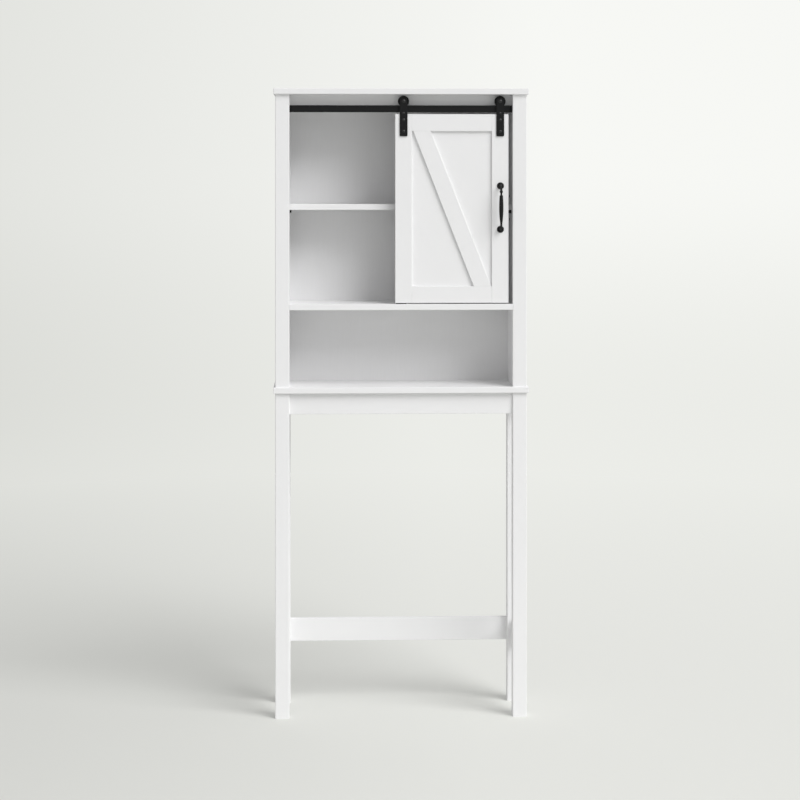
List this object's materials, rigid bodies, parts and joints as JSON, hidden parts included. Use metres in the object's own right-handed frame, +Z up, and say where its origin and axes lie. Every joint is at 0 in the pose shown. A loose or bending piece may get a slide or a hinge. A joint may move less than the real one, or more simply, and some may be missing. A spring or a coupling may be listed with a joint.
{
  "type": "over the toilet storage rack",
  "caption": "Tall free-standing white storage rack that stands over a toilet on open legs, with a shelved cabinet, an open cubby and a small barn door rolling on a black bar track.",
  "frame": {"origin": "on the floor, under the middle of the rack's outline, with the pull counted in its depth", "axes": "+X to the right seen from the front, +Y to the back, +Z up"},
  "size_m": [0.69, 0.23, 1.7],
  "materials": {
    "white_paint": "satin white paint on fibreboard",
    "white_back": "satin white paint on thin hardboard",
    "dowel_wood": "bare beech",
    "black_metal": "matte black powder coat",
    "black_roller": "matte black powder coat",
    "zinc_steel": "bright zinc plate",
    "black_plastic": "moulded black plastic"
  },
  "bodies": {
    "carcass": {"top_board": "white_paint", "waist_board": "white_paint", "cabinet_floor": "white_paint", "left_front_leg": "white_paint", "right_front_leg": "white_paint", "left_rear_leg": "white_paint", "right_rear_leg": "white_paint", "left_front_post": "white_paint", "right_front_post": "white_paint", "left_rear_post": "white_paint", "right_rear_post": "white_paint", "left_side_panel": "white_paint", "right_side_panel": "white_paint", "front_apron": "white_paint", "rear_apron": "white_paint", "left_side_apron": "white_paint", "right_side_apron": "white_paint", "left_side_rail": "white_paint", "right_side_rail": "white_paint", "rear_crossbar": "white_paint", "header_rail": "white_paint", "back_panel": "white_back", "apron_dowels": "dowel_wood", "side_apron_dowels": "dowel_wood", "side_rail_dowels": "dowel_wood", "crossbar_dowels": "dowel_wood", "cabinet_floor_dowels": "dowel_wood", "top_dowels": "dowel_wood", "header_dowels": "dowel_wood", "door_track": "black_metal", "track_screws": "black_metal", "shelf_supports": "black_metal", "shelf_sleeves": "black_metal", "waist_bolts": "zinc_steel", "guide_screws": "zinc_steel", "floor_guide": "black_plastic"},
    "door": {"door_left_stile": "white_paint", "door_right_stile": "white_paint", "door_top_rail": "white_paint", "door_bottom_rail": "white_paint", "door_panel": "white_paint", "door_brace": "white_paint", "left_hanger_strap": "black_metal", "right_hanger_strap": "black_metal", "axle_bolts": "black_metal", "stop_pins": "black_metal", "strap_screws": "black_metal", "pull_handle": "black_metal", "axle_washers": "black_metal", "axle_nuts": "zinc_steel", "pull_screws": "zinc_steel"},
    "left_roller": {"left_roller": "black_roller"},
    "right_roller": {"right_roller": "black_roller"},
    "shelf": {"adjustable_shelf": "white_paint"}
  },
  "joints": [
    {"name": "door_slide", "type": "slide", "parent": "carcass", "child": "door", "axis": [1, 0, 0], "range_m": [-0.285, 0.01]},
    {"name": "left_roller_spin", "type": "hinge", "parent": "door", "child": "left_roller", "pos_m": [0.0066, -0.0751, 1.666], "axis": [0, 1, 0], "continuous": true},
    {"name": "right_roller_spin", "type": "hinge", "parent": "door", "child": "right_roller", "pos_m": [0.2686, -0.0751, 1.666], "axis": [0, 1, 0], "continuous": true},
    {"name": "shelf_lift", "type": "slide", "parent": "carcass", "child": "shelf", "axis": [0, 0, 1], "range_m": [0, 0.03]}
  ],
  "couplings": [
    {"joint": "left_roller_spin", "follows": "door_slide", "rad_per_m": 90.909},
    {"joint": "right_roller_spin", "follows": "door_slide", "rad_per_m": 90.909}
  ]
}
